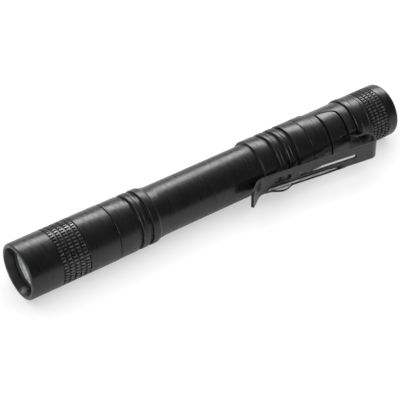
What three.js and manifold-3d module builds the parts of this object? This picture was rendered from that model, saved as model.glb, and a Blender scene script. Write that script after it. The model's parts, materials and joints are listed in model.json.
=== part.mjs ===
// A slim pocket flashlight for two AAA cells: a turned body in three screwed lengths, a tail push
// switch and a sprung pocket clip. Millimetres. The light's axis runs along X, head first, and every
// station below is a distance from the front rim until the group at the end is set on the floor.
import * as THREE from 'three';
import { mergeVertices } from 'three/addons/utils/BufferGeometryUtils.js';
import Module from 'manifold-3d';

const wasm = await Module();
wasm.setup();

// Fits
const FIT = 0.25; // radial clearance between turned pieces that screw or slide together
const SEAT = 0.2; // gap between faces that bear on each other

// Cells
const CELL_RADIUS = 5.2;
const CELL_LENGTH = 44.5; // over the nub
const CELL_PLAY = 0.45; // radial room in the bore
const NUB_RADIUS = 1.9;
const NUB_HEIGHT = 1.0;
const CELL_ROUND = 0.5;

// Walls of the turned body
const NECK_WALL = 1.35;
const SHELL_WALL = 1.25; // head and cap, over their sockets
const SHAFT_WALL = 1.95;
const SPIGOT_WALL = 1.1;
const BAND_RISE = 0.8; // bands and rings, above the shaft
const GROOVE_DEPTH = 0.9;
const SEAT_STEP = 0.35; // clip length, below the bands
const EDGE = 0.3; // chamfer on turned corners

// Head
const LIP_DEPTH = 2.6;
const LIP_TAPER = 1.1; // how much the front lip closes in towards the lens
const LIP_OVERLAP = 0.75; // how far the lip covers the lens
const RIM_ROUND = 0.6;
const SEAL_CORD = 0.8; // section of every O-ring
const LENS_THICKNESS = 1.2;
const FLANGE_THICKNESS = 0.8;
const CUP_DEPTH = 6.9;
const CUP_HOLE = 1.75;
const CUP_WALL = 0.6;
const CUP_RIM = 0.6; // flat land between the cup's mouth and the flange edge
const LED_SIZE = 3.0;
const LED_BASE = 0.6;
const DOME_RADIUS = 1.1;
const BOARD_THICKNESS = 1.1;
const BOARD_MARGIN = 1.5;
const PILL_LENGTH = 7.6;
const PILL_PLATE = 1.7;
const PILL_WALL = 1.1;
const DRIVER_THICKNESS = 1.0;
const DRIVER_SETBACK = 1.5;
const NECK_LENGTH = 6.6;

// Rings and bands of the barrel, front to back
const FRONT_BAND = 6.3;
const GROOVE_WIDTH = 1.1;
const RING_WIDTH = 2.4;
const FLARE_BAND = 2.2;
const FLARE_RADIUS = 3.2;
const COLLAR_LENGTH = 4.7;
const REAR_BAND = 5.1;
const SPIGOT_LENGTH = 7.0;

// Tail
const TUBE_LENGTH = 17.0;
const TUBE_BAND = 4.2;
const TAIL_NECK_LENGTH = 5.1;
const RETAINER_THICKNESS = 1.4;
const RETAINER_NOTCH = 1.6;
const HOUSING_PLAY = 1.05;
const HOUSING_BODY = 3.4;
const HOUSING_BOTTOM = 0.8;
const HOUSING_FLANGE = 1.1;
const CONTACT_THICKNESS = 0.8;
const PLUNGER_RADIUS = 1.6;
const BUTTON_RADIUS = 4.5;
const BUTTON_STEP = 1.2; // flange that keeps the button in
const BUTTON_FLANGE = 1.1;
const BUTTON_TRAVEL = 1.4;
const BUTTON_PROUD = 1.2;
const BUTTON_ROUND = 0.9;
const CAP_END = 4.8;
const CAP_ROUND = 1.0;
const CAP_BEAD = 1.9; // raised bead at the cap's mouth
const CAP_WAIST = 0.2; // body of the cap, below the bead

// Contact springs: wire diameter, coil radius at the wire's middle, length over the ends, turns
const POSITIVE_SPRING = { wire: 0.5, coil: 1.5, length: 2.3, turns: 2 };
const NEGATIVE_SPRING = { wire: 0.6, coil: 2.6, length: 4.0, turns: 3 };
const SWITCH_SPRING = { wire: 0.3, coil: 1.2, turns: 2 };
const SPRING_SOLID = 0.6; // room left for the switch spring when the button is down

// Pocket clip
const SHEET = 0.8;
const CLIP_WIDTH = 5.8;
const WING_WIDTH = 5.7;
const WING_SETBACK = 4.0; // from the cap's mouth
const WING_WRAP = 98; // degrees each side of the arm
const WING_TAPER = 22; // degrees over which the wing's rear edge runs in to its tip
const WING_TIP = 1.2; // width left at the tip
const STRIP_PROUD = 0.12; // flat strip, above the wings' curve
const RELIEF_WIDTH = 0.6;
const RELIEF_DEPTH = 2.4;
const POCKET_GAP = 0.35;
const LOOP_RADIUS = 2.0; // inside the bend
const LOOP_OVERHANG = 0.3; // past the cap's mouth
const LOOP_TURN = 188; // degrees
const LOOP_CLEAR = 0.4; // over the cap's bead
const JOG_LENGTH = 3.6;
const KNEE_SETBACK = 6.3;
const BEND_RADIUS = 1.2;
const KNEE_RADIUS = 8.0;
const ARM_CLEAR = 0.3;
const TIP_OVERHANG = 2.2; // past the collar's front edge
const TIP_REACH = 5.0;
const TIP_RISE = 3.6;
const TIP_CORNER = 1.0;
const LOBE_LENGTH = 7.0;
const LOBE_HEIGHT = 1.0;
const OVAL_LENGTH = 5.6;
const OVAL_WIDTH = 1.9;
const OVAL_SETBACK = 1.5; // from the collar's front edge
const OVAL_RISE = 0.6; // above the middle of the arm
const SLOT_LENGTH = 19.8;
const SLOT_WIDTH = 1.7;
const SLOT_SPACING = 3.4; // metal left between the oval hole and the slot

// Facets
const SHELL_SIDES = 32;
const INNER_SIDES = 24;
const CORD_SIDES = 6;
const WIRE_SIDES = 5;
const CURL_STEPS = 8;
const ARC_STEPS = 5;

// Radii that follow from the cells and the walls
const boreRadius = CELL_RADIUS + CELL_PLAY;
const neckRadius = boreRadius + NECK_WALL;
const socketRadius = neckRadius + FIT;
const headRadius = socketRadius + SHELL_WALL;
const shaftRadius = boreRadius + SHAFT_WALL;
const bandRadius = shaftRadius + BAND_RISE;
const grooveRadius = bandRadius - GROOVE_DEPTH;
const seatRadius = bandRadius - SEAT_STEP;
const spigotRadius = boreRadius + SPIGOT_WALL;
const counterbore = spigotRadius + FIT;
const slipRadius = socketRadius - FIT; // what slides in the head and cap sockets
const capRadius = headRadius - CAP_WAIST;
const housingRadius = boreRadius - HOUSING_PLAY;
const buttonFlangeRadius = BUTTON_RADIUS + BUTTON_STEP;

// Stations along the axis, from the front rim
const lensFront = LIP_DEPTH + SEAL_CORD + 2 * SEAT;
const reflectorFront = lensFront + LENS_THICKNESS + SEAT;
const cupRear = reflectorFront + CUP_DEPTH;
const ledFront = cupRear + SEAT;
const boardFront = ledFront + LED_BASE + SEAT;
const pillFront = boardFront + BOARD_THICKNESS + SEAT;
const pillRear = pillFront + PILL_LENGTH;
const neckFront = pillRear + SEAT;
const headRear = neckFront + NECK_LENGTH;
const barrelShoulder = headRear + SEAT;
const driverRear = pillRear - DRIVER_SETBACK;
const positiveFront = driverRear + SEAT;
const cellsFront = positiveFront + POSITIVE_SPRING.length + SEAT;
const cellStep = CELL_LENGTH + SEAT;
const negativeFront = cellsFront + 2 * cellStep;
const contactFront = negativeFront + NEGATIVE_SPRING.length + SEAT;
const housingFront = contactFront + CONTACT_THICKNESS + SEAT;
const flangeFront = housingFront + HOUSING_BODY;
const flangeRear = flangeFront + HOUSING_FLANGE;
const capShoulder = flangeRear + SEAT;
const retainerRear = flangeFront - SEAT;
const retainerFront = retainerRear - RETAINER_THICKNESS;
const tailNeckRear = retainerFront - SEAT;
const capFront = tailNeckRear - TAIL_NECK_LENGTH;
const tubeRear = capFront - SEAT;
const tubeFront = capFront - TUBE_LENGTH;
const barrelRear = tubeFront - SEAT;
const buttonFront = flangeRear + SEAT + BUTTON_TRAVEL;
const buttonShoulder = buttonFront + BUTTON_FLANGE;
const capWall = buttonShoulder + SEAT;
const capRear = capWall + CAP_END;
const buttonRear = capRear + BUTTON_PROUD;
const spigotFront = tubeFront - SPIGOT_LENGTH;
const collarFront = barrelRear - REAR_BAND - 3 * GROOVE_WIDTH - 2 * RING_WIDTH - COLLAR_LENGTH;
const flareFront = barrelShoulder + FRONT_BAND + 2 * GROOVE_WIDTH + RING_WIDTH;
const shaftFront = flareFront + FLARE_BAND + FLARE_RADIUS;

// Finishes
const anodised = () => new THREE.MeshStandardMaterial({ color: 0x1b1c1e, roughness: 0.42, metalness: 0.7 });
const springSteel = () => new THREE.MeshStandardMaterial({ color: 0x202123, roughness: 0.35, metalness: 0.8 });
const rubber = () => new THREE.MeshStandardMaterial({ color: 0x121212, roughness: 0.8, metalness: 0 });
const glass = () => new THREE.MeshStandardMaterial({ color: 0xdfe8e6, roughness: 0.05, metalness: 0 });
const silver = () => new THREE.MeshStandardMaterial({ color: 0xd8dadb, roughness: 0.12, metalness: 1 });
const brass = () => new THREE.MeshStandardMaterial({ color: 0xb08d4a, roughness: 0.35, metalness: 1 });
const board = () => new THREE.MeshStandardMaterial({ color: 0x2c5a3c, roughness: 0.55, metalness: 0 });
const phosphor = () => new THREE.MeshStandardMaterial({ color: 0xe6d96a, roughness: 0.3, metalness: 0 });
const canWrap = () => new THREE.MeshStandardMaterial({ color: 0x8e9296, roughness: 0.4, metalness: 0.5 });
const nylon = () => new THREE.MeshStandardMaterial({ color: 0xd9d6cc, roughness: 0.5, metalness: 0 });
const blackPlastic = () => new THREE.MeshStandardMaterial({ color: 0x18181a, roughness: 0.55, metalness: 0 });

// Geometry helpers

// A closed [station, radius] profile turned about X, its outer side listed front to back
function turned(profile, sides) {
  const points = profile.map(([x, r]) => new THREE.Vector2(r, x));
  if (profile[0][1] > 0) points.push(points[0].clone());
  const geometry = new THREE.LatheGeometry(points, sides);
  geometry.rotateZ(-Math.PI / 2);
  return geometry;
}

function arc(x, r, radius, fromDegrees, toDegrees, steps = ARC_STEPS) {
  return Array.from({ length: steps + 1 }, (_, i) => {
    const a = THREE.MathUtils.degToRad(fromDegrees + ((toDegrees - fromDegrees) * i) / steps);
    return [x + radius * Math.cos(a), r + radius * Math.sin(a)];
  });
}

function oRing(x, outerRadius) {
  const half = SEAL_CORD / 2;
  const section = Array.from({ length: CORD_SIDES }, (_, i) => {
    const a = (i / CORD_SIDES) * 2 * Math.PI;
    return [x + half * Math.sin(a), outerRadius - half + half * Math.cos(a)];
  });
  return turned(section, INNER_SIDES);
}

// The groove that holds an O-ring standing half a fit proud of a neck, listed front to back
function oRingGroove(x, radius) {
  const floor = radius + FIT / 2 - SEAL_CORD - SEAT / 2;
  const half = SEAL_CORD / 2 + SEAT / 2;
  return [[x - half, radius], [x - half, floor], [x + half, floor], [x + half, radius]];
}

class Helix extends THREE.Curve {
  constructor({ wire, coil, length, turns }, start) {
    super();
    Object.assign(this, { wire, coil, turns, start, rise: length - wire });
  }

  getPoint(t, target = new THREE.Vector3()) {
    const a = t * this.turns * 2 * Math.PI;
    const x = this.start + this.wire / 2 + this.rise * t;
    return target.set(x, this.coil * Math.cos(a), this.coil * Math.sin(a));
  }
}

function spring(sizes, start) {
  const section = new THREE.Shape();
  for (let i = 0; i < WIRE_SIDES; i += 1) {
    const a = (i / WIRE_SIDES) * 2 * Math.PI;
    const place = i === 0 ? 'moveTo' : 'lineTo';
    section[place]((sizes.wire / 2) * Math.cos(a), (sizes.wire / 2) * Math.sin(a));
  }
  const steps = sizes.turns * CURL_STEPS;
  return new THREE.ExtrudeGeometry(section, { steps, extrudePath: new Helix(sizes, start) });
}

function solid(geometry) {
  const bare = geometry.clone();
  bare.deleteAttribute('normal');
  bare.deleteAttribute('uv');
  const merged = mergeVertices(bare, 1e-4);
  const vertProperties = new Float32Array(merged.attributes.position.array);
  const triVerts = new Uint32Array(merged.index.array);
  return new wasm.Manifold(new wasm.Mesh({ numProp: 3, vertProperties, triVerts }));
}

function surface(manifold) {
  const { vertProperties, triVerts } = manifold.getMesh();
  const geometry = new THREE.BufferGeometry();
  geometry.setAttribute('position', new THREE.BufferAttribute(new Float32Array(vertProperties), 3));
  geometry.setIndex(new THREE.BufferAttribute(new Uint32Array(triVerts), 1));
  return geometry;
}

function block(x0, x1, y0, y1, z0, z1) {
  const geometry = new THREE.BoxGeometry(x1 - x0, y1 - y0, z1 - z0);
  geometry.translate((x0 + x1) / 2, (y0 + y1) / 2, (z0 + z1) / 2);
  return geometry;
}

const flashlight = new THREE.Group();

function add(name, geometry, material) {
  const mesh = new THREE.Mesh(geometry, material);
  mesh.name = name;
  flashlight.add(mesh);
}

// Head: shell, seal, window, reflector and light engine

function headBezel() {
  const throat = slipRadius - LIP_OVERLAP;
  return turned([
    [0, throat + LIP_TAPER],
    ...arc(RIM_ROUND, headRadius - RIM_ROUND, RIM_ROUND, 180, 90),
    [headRear - EDGE, headRadius],
    [headRear, headRadius - EDGE],
    [headRear, socketRadius],
    [LIP_DEPTH, socketRadius],
    [LIP_DEPTH, throat],
  ], SHELL_SIDES);
}

function reflector() {
  const mouth = slipRadius - CUP_RIM;
  const focal = (mouth ** 2 - CUP_HOLE ** 2) / (4 * CUP_DEPTH);
  const steps = 6;
  const cup = Array.from({ length: steps + 1 }, (_, i) => {
    const r = CUP_HOLE + ((mouth - CUP_HOLE) * i) / steps;
    return [cupRear - (r ** 2 - CUP_HOLE ** 2) / (4 * focal), r];
  });
  const back = cup.slice(0, -1).reverse().map(([x, r]) => [x, r + CUP_WALL]);
  const flangeRearX = reflectorFront + FLANGE_THICKNESS;
  const outside = back.filter(([x, r]) => x > flangeRearX + SEAT && r < slipRadius - SEAT);
  return turned([
    [reflectorFront, slipRadius],
    [flangeRearX, slipRadius],
    [flangeRearX, outside[0][1]],
    ...outside,
    ...cup,
  ], INNER_SIDES);
}

function ledEmitter() {
  const half = LED_SIZE / 2;
  const package_ = block(ledFront, ledFront + LED_BASE, -half, half, -half, half);
  const dome = turned([
    ...arc(ledFront, 0, DOME_RADIUS, 180, 90).map(([x, r], i) => [x, i === 0 ? 0 : r]),
    [ledFront + LED_BASE / 2, DOME_RADIUS],
    [ledFront + LED_BASE / 2, 0],
  ], INNER_SIDES);
  return surface(solid(package_).add(solid(dome)));
}

function disc(x, thickness, radius) {
  return turned([[x, 0], [x, radius], [x + thickness, radius], [x + thickness, 0]], INNER_SIDES);
}

function ledPill() {
  const inner = slipRadius - PILL_WALL;
  return turned([
    [pillFront, 0],
    [pillFront, slipRadius],
    [pillRear, slipRadius],
    [pillRear, inner],
    [pillFront + PILL_PLATE, inner],
    [pillFront + PILL_PLATE, 0],
  ], INNER_SIDES);
}

// Barrel: neck, rings, shaft and collars

// A band with chamfered edges
const band = (x, length, radius) => [
  [x, radius - EDGE], [x + EDGE, radius], [x + length - EDGE, radius], [x + length, radius - EDGE],
];
const ring = (x) => band(x, RING_WIDTH, bandRadius);
const groove = (x) => [[x, grooveRadius], [x + GROOVE_WIDTH, grooveRadius]];

const headSealX = headRear - SEAL_CORD - SEAT;
const tailSealX = capFront + SEAL_CORD + SEAT;

function barrel() {
  const frontGroove = barrelShoulder + FRONT_BAND;
  const rearRings = collarFront + COLLAR_LENGTH;
  const step = GROOVE_WIDTH + RING_WIDTH;
  const fillet = arc(shaftFront, shaftRadius + FLARE_RADIUS, FLARE_RADIUS, 180, 270);
  const flare = fillet.filter(([, r]) => r < bandRadius - EDGE);
  return turned([
    [neckFront, boreRadius],
    [neckFront, neckRadius - EDGE],
    [neckFront + EDGE, neckRadius],
    ...oRingGroove(headSealX, neckRadius),
    [barrelShoulder, neckRadius],
    ...band(barrelShoulder, FRONT_BAND, bandRadius),
    ...groove(frontGroove),
    ...ring(frontGroove + GROOVE_WIDTH),
    ...groove(frontGroove + step),
    ...band(flareFront, FLARE_BAND, bandRadius),
    ...flare,
    [collarFront, shaftRadius],
    ...band(collarFront, COLLAR_LENGTH, bandRadius),
    ...groove(rearRings),
    ...ring(rearRings + GROOVE_WIDTH),
    ...groove(rearRings + step),
    ...ring(rearRings + step + GROOVE_WIDTH),
    ...groove(rearRings + 2 * step),
    ...band(rearRings + 2 * step + GROOVE_WIDTH, REAR_BAND, bandRadius),
    [barrelRear, counterbore],
    [spigotFront - SEAT, counterbore],
    [spigotFront - SEAT, boreRadius],
  ], SHELL_SIDES);
}

function cell(index) {
  const tip = cellsFront + index * cellStep;
  const can = tip + NUB_HEIGHT;
  const rear = tip + CELL_LENGTH;
  return turned([
    [tip, 0], [tip, NUB_RADIUS], [can, NUB_RADIUS],
    [can, CELL_RADIUS - CELL_ROUND], [can + CELL_ROUND, CELL_RADIUS],
    [rear - CELL_ROUND, CELL_RADIUS], [rear, CELL_RADIUS - CELL_ROUND], [rear, 0],
  ], INNER_SIDES);
}

// Clip and the pocket it sits in

const wingRear = capFront - WING_SETBACK;
const wingFront = wingRear - WING_WIDTH;
const wingInner = seatRadius - SHEET;

// A shell on the body's own curve between a front and a rear edge, both functions of the angle from
// the arm, from -limit to +limit degrees
function curvedPlate(angles, inner, outer, frontEdge, rearEdge) {
  const rows = angles.map((degrees) => {
    const a = THREE.MathUtils.degToRad(degrees);
    const at = (x, r) => [x, -r * Math.cos(a), r * Math.sin(a)];
    const front = frontEdge(degrees);
    const rear = rearEdge(degrees);
    return [at(front, inner), at(rear, inner), at(rear, outer), at(front, outer)];
  });
  const corners = 4;
  const index = [];
  for (let i = 0; i + 1 < rows.length; i += 1) {
    for (let j = 0; j < corners; j += 1) {
      const a = i * corners + j;
      const b = i * corners + ((j + 1) % corners);
      index.push(a, a + corners, b, b, a + corners, b + corners);
    }
  }
  const last = (rows.length - 1) * corners;
  index.push(0, 1, 2, 0, 2, 3, last, last + 2, last + 1, last, last + 3, last + 2);
  const geometry = new THREE.BufferGeometry();
  geometry.setAttribute('position', new THREE.Float32BufferAttribute(rows.flat(2), 3));
  geometry.setIndex(index);
  return geometry;
}

const arcDegrees = (length) => THREE.MathUtils.radToDeg(length / seatRadius);
const stripAngle = THREE.MathUtils.radToDeg(Math.asin(CLIP_WIDTH / 2 / seatRadius));
const reliefStart = stripAngle - arcDegrees(SHEET / 2);
const reliefAngle = stripAngle + arcDegrees(RELIEF_WIDTH);

// Rear edge of a wing: straight, then running in to the rounded tip
function taperEdge(degrees) {
  const share = Math.max(0, (Math.abs(degrees) - WING_WRAP + WING_TAPER) / WING_TAPER);
  return wingRear - (WING_WIDTH - WING_TIP) * share ** 3;
}

// The same edge with the relief notch beside the strip
function wingEdge(degrees) {
  const turn = Math.abs(degrees);
  if (turn > reliefStart && turn < reliefAngle) return wingRear - RELIEF_DEPTH;
  return taperEdge(degrees);
}

function spread(limit, step) {
  const count = Math.ceil((2 * limit) / step);
  return Array.from({ length: count + 1 }, (_, i) => -limit + (2 * limit * i) / count);
}

const wingStep = 5;
const sharpStep = 0.05;

function wings() {
  const breaks = [reliefStart, reliefStart + sharpStep, reliefAngle - sharpStep, reliefAngle];
  const angles = [...spread(WING_WRAP, wingStep), ...breaks, ...breaks.map((a) => -a)].sort((a, b) => a - b);
  return curvedPlate(angles, wingInner, seatRadius, () => wingFront, wingEdge);
}

// The pocket follows the wings with a gap all round, and runs out behind under the strip
function pocket() {
  const limit = WING_WRAP + arcDegrees(POCKET_GAP);
  const runOut = stripAngle + arcDegrees(POCKET_GAP);
  const floor = wingInner - SEAT;
  const front = wingFront - POCKET_GAP;
  const rearEdge = (degrees) => taperEdge((degrees * WING_WRAP) / limit) + POCKET_GAP;
  const bed = curvedPlate(spread(limit, wingStep), floor, headRadius, () => front, rearEdge);
  const lift = STRIP_PROUD;
  const way = curvedPlate(
    spread(runOut, wingStep), floor + lift, headRadius + lift, () => wingRear, () => tubeRear + 2 * SEAT);
  return solid(bed).add(solid(way));
}

// A path of straight runs with rounded bends: each corner is [x, y, bend radius]
function bentPath(corners) {
  const points = [];
  corners.forEach(([x, y, bend], i) => {
    const here = new THREE.Vector2(x, y);
    if (!bend) {
      points.push(here);
      return;
    }
    const before = new THREE.Vector2(...corners[i - 1].slice(0, 2)).sub(here).normalize();
    const after = new THREE.Vector2(...corners[i + 1].slice(0, 2)).sub(here).normalize();
    const half = Math.acos(before.dot(after)) / 2;
    const reach = bend / Math.tan(half);
    const centre = here.clone().add(before.clone().add(after).normalize().multiplyScalar(bend / Math.sin(half)));
    const from = here.clone().addScaledVector(before, reach).sub(centre);
    const to = here.clone().addScaledVector(after, reach).sub(centre);
    const sweep = Math.atan2(from.cross(to), from.dot(to));
    for (let k = 0; k <= ARC_STEPS; k += 1) {
      points.push(from.clone().rotateAround(new THREE.Vector2(), (sweep * k) / ARC_STEPS).add(centre));
    }
  });
  return points;
}

// The outline of a strip of the clip's sheet that follows a path
function stripOutline(path) {
  const sides = [1, -1].map((side) => path.map((point, i) => {
    const ahead = path[Math.min(i + 1, path.length - 1)];
    const behind = path[Math.max(i - 1, 0)];
    const along = ahead.clone().sub(behind).normalize();
    return new THREE.Vector2(-along.y, along.x).multiplyScalar((side * SHEET) / 2).add(point);
  }));
  return new THREE.Shape([...sides[0], ...sides[1].reverse()]);
}

// Side view of the strip: out of the wings, over the cap's bead, round the loop and along the arm
function clipPath() {
  const loopX = capFront + LOOP_OVERHANG;
  const stripOut = headRadius + LOOP_CLEAR + SHEET / 2;
  const loopMiddle = LOOP_RADIUS + SHEET / 2;
  const loopOut = stripOut + loopMiddle;
  const wingOut = seatRadius - SHEET / 2 + STRIP_PROUD;
  const turn = THREE.MathUtils.degToRad(LOOP_TURN - 180);
  const loopSteps = 14;
  const loop = Array.from({ length: loopSteps + 1 }, (_, i) => {
    const a = -Math.PI / 2 + ((Math.PI + turn) * i) / loopSteps;
    return [loopX + loopMiddle * Math.cos(a), -(loopOut + loopMiddle * Math.sin(a))];
  });
  const [leaveX, leaveY] = loop[loopSteps];
  const kneeX = loopX - KNEE_SETBACK;
  const kneeY = leaveY + (leaveX - kneeX) * Math.tan(turn);
  const collarY = -(bandRadius + ARM_CLEAR + SHEET / 2);
  const tipX = collarFront - TIP_OVERHANG;
  const tipY = kneeY + ((collarY - kneeY) * (tipX - kneeX)) / (collarFront - kneeX);
  return bentPath([
    [wingRear - RELIEF_DEPTH + SHEET, -wingOut],
    [loopX - JOG_LENGTH, -wingOut, BEND_RADIUS],
    [loopX - BEND_RADIUS, -stripOut, BEND_RADIUS / 2],
    ...loop,
    [kneeX, kneeY, KNEE_RADIUS],
    [tipX, tipY, BEND_RADIUS],
    [tipX - TIP_REACH, tipY - TIP_RISE],
  ]);
}

// Plan view of the strip, in X and Z: rounded tip corners and a lobe on its lower edge
function clipPlan(reach) {
  const half = CLIP_WIDTH / 2;
  const tip = collarFront - TIP_OVERHANG - TIP_REACH - SHEET;
  const lobe = collarFront + OVAL_SETBACK + OVAL_LENGTH / 2;
  const plan = new THREE.Shape();
  plan.moveTo(reach, half);
  plan.lineTo(tip + TIP_CORNER, half);
  plan.quadraticCurveTo(tip, half, tip, half - TIP_CORNER);
  plan.lineTo(tip, TIP_CORNER - half);
  plan.quadraticCurveTo(tip, -half, tip + TIP_CORNER, -half);
  plan.lineTo(lobe - LOBE_LENGTH / 2, -half);
  plan.bezierCurveTo(
    lobe - LOBE_LENGTH / 4, -half, lobe - LOBE_LENGTH / 4, -half - LOBE_HEIGHT, lobe, -half - LOBE_HEIGHT);
  plan.bezierCurveTo(
    lobe + LOBE_LENGTH / 4, -half - LOBE_HEIGHT, lobe + LOBE_LENGTH / 4, -half, lobe + LOBE_LENGTH / 2, -half);
  plan.lineTo(reach, -half);
  return plan;
}

// A round-ended slot in X and Z
function slotPlan(from, length, width, rise) {
  const plan = new THREE.Shape();
  const half = width / 2;
  plan.absarc(from + half, rise, half, Math.PI / 2, (3 * Math.PI) / 2);
  plan.absarc(from + length - half, rise, half, -Math.PI / 2, Math.PI / 2);
  return plan;
}

// Extrudes an X-Z plan across the body on the clip's side, from one distance out to another
function across(plan, nearest, furthest) {
  const geometry = new THREE.ExtrudeGeometry(plan, {
    depth: furthest - nearest, bevelEnabled: false, curveSegments: ARC_STEPS,
  });
  geometry.rotateX(Math.PI / 2);
  geometry.translate(0, -nearest, 0);
  return geometry;
}

function pocketClip() {
  const tall = CLIP_WIDTH + 2 * LOBE_HEIGHT;
  const strip = new THREE.ExtrudeGeometry(stripOutline(clipPath()), { depth: tall, bevelEnabled: false });
  strip.translate(0, 0, -tall / 2);
  const outermost = headRadius + LOOP_CLEAR + 2 * (SHEET + LOOP_RADIUS) + TIP_RISE;
  const armSide = bandRadius + ARM_CLEAR / 2;
  const ovalFront = collarFront + OVAL_SETBACK;
  const slotFront = ovalFront + OVAL_LENGTH + SLOT_SPACING;
  const hole = (from, length, width, rise = 0) => (
    solid(across(slotPlan(from, length, width, rise), armSide, outermost)));
  return surface(solid(strip)
    .intersect(solid(across(clipPlan(capRear), 0, outermost)))
    .subtract(hole(ovalFront, OVAL_LENGTH, OVAL_WIDTH, OVAL_RISE))
    .subtract(hole(slotFront, SLOT_LENGTH, SLOT_WIDTH))
    .add(solid(wings())));
}

// Tail: tube, cap and push switch

function tailTube() {
  const seatFront = tubeFront + TUBE_BAND;
  const tube = turned([
    [spigotFront, boreRadius],
    [spigotFront, spigotRadius - EDGE],
    [spigotFront + EDGE, spigotRadius],
    [tubeFront, spigotRadius],
    ...band(tubeFront, TUBE_BAND, bandRadius).slice(0, 3),
    [seatFront, seatRadius],
    [tubeRear, seatRadius],
    [tubeRear, neckRadius],
    ...oRingGroove(tailSealX, neckRadius),
    [tailNeckRear - EDGE, neckRadius],
    [tailNeckRear, neckRadius - EDGE],
    [tailNeckRear, boreRadius],
  ], SHELL_SIDES);
  return surface(solid(tube).subtract(pocket()));
}

function tailCap() {
  const opening = BUTTON_RADIUS + FIT;
  const chamber = buttonFlangeRadius + FIT;
  const beadRear = capFront + CAP_BEAD;
  return turned([
    [capFront, socketRadius],
    [capFront, headRadius - EDGE],
    [capFront + EDGE, headRadius],
    [beadRear - EDGE, headRadius],
    [beadRear, capRadius],
    ...arc(capRear - CAP_ROUND, capRadius - CAP_ROUND, CAP_ROUND, 90, 0),
    [capRear, opening + EDGE],
    [capRear - EDGE, opening],
    [capWall, opening],
    [capWall, chamber],
    [capShoulder, chamber],
    [capShoulder, socketRadius],
  ], SHELL_SIDES);
}

function retainingRing() {
  const inner = housingRadius + FIT;
  const plain = turned([
    [retainerFront, slipRadius], [retainerRear, slipRadius], [retainerRear, inner], [retainerFront, inner],
  ], INNER_SIDES);
  const half = RETAINER_NOTCH / 2;
  const reach = slipRadius + FIT;
  const notch = block(retainerFront - SEAT, retainerFront + RETAINER_THICKNESS / 2, -reach, reach, -half, half);
  return surface(solid(plain).subtract(solid(notch)));
}

const holeBottom = housingFront + HOUSING_BOTTOM;
const plungerFront = holeBottom + BUTTON_TRAVEL + SPRING_SOLID;
const plungerRear = buttonFront - SEAT;

function switchHousing() {
  const hole = PLUNGER_RADIUS + FIT;
  return turned([
    [housingFront, 0],
    [housingFront, housingRadius],
    [flangeFront, housingRadius],
    [flangeFront, slipRadius],
    [flangeRear, slipRadius],
    [flangeRear, hole],
    [holeBottom, hole],
    [holeBottom, 0],
  ], INNER_SIDES);
}

const buttonSealX = (capWall + capRear) / 2;

function tailButton() {
  return turned([
    [buttonFront, 0],
    [buttonFront, buttonFlangeRadius],
    [buttonShoulder, buttonFlangeRadius],
    [buttonShoulder, BUTTON_RADIUS],
    ...oRingGroove(buttonSealX, BUTTON_RADIUS),
    ...arc(buttonRear - BUTTON_ROUND, BUTTON_RADIUS - BUTTON_ROUND, BUTTON_ROUND, 90, 0),
    [buttonRear, 0],
  ], INNER_SIDES);
}

add('head_bezel', headBezel(), anodised());
add('lens_o_ring', oRing(LIP_DEPTH + SEAT + SEAL_CORD / 2, slipRadius), rubber());
add('lens', disc(lensFront, LENS_THICKNESS, slipRadius), glass());
add('reflector', reflector(), silver());
add('led_emitter', ledEmitter(), phosphor());
add('led_board', disc(boardFront, BOARD_THICKNESS, slipRadius - BOARD_MARGIN), nylon());
add('led_pill', ledPill(), brass());
add('driver_board', disc(driverRear - DRIVER_THICKNESS, DRIVER_THICKNESS, slipRadius - PILL_WALL - FIT), board());
add('positive_spring', spring(POSITIVE_SPRING, positiveFront), brass());
add('head_o_ring', oRing(headSealX, neckRadius + FIT / 2), rubber());
add('barrel', barrel(), anodised());
['battery_front', 'battery_rear'].forEach((name, i) => add(name, cell(i), canWrap()));
add('tail_tube', tailTube(), anodised());
add('pocket_clip', pocketClip(), springSteel());
add('tail_o_ring', oRing(tailSealX, neckRadius + FIT / 2), rubber());
add('tail_cap', tailCap(), anodised());
add('retaining_ring', retainingRing(), brass());
add('switch_housing', switchHousing(), blackPlastic());
add('switch_contact', disc(contactFront, CONTACT_THICKNESS, housingRadius), board());
add('negative_spring', spring(NEGATIVE_SPRING, negativeFront), brass());
add('switch_plunger', disc(plungerFront, plungerRear - plungerFront, PLUNGER_RADIUS), nylon());
const switchSpring = { ...SWITCH_SPRING, length: plungerFront - holeBottom - 2 * SEAT };
add('switch_spring', spring(switchSpring, holeBottom + SEAT), brass());
add('tail_button', tailButton(), rubber());
add('button_o_ring', oRing(buttonSealX, BUTTON_RADIUS + FIT / 2), rubber());

// The light lies on its head and cap rims, with the middle of its box over the origin
const clipOut = headRadius + LOOP_CLEAR + 2 * (SHEET + LOOP_RADIUS);
flashlight.position.set(-buttonRear / 2, (clipOut - headRadius) / 2, headRadius);
flashlight.updateMatrixWorld(true);

export default flashlight;
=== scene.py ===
"""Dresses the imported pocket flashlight: knurled turned body, bent spring clip, lamp end and stage."""

import json
import math

import bmesh
import bpy
from bpy.props import FloatProperty, FloatVectorProperty, IntProperty, PointerProperty
from mathutils import Matrix, Vector, geometry, kdtree

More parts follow.
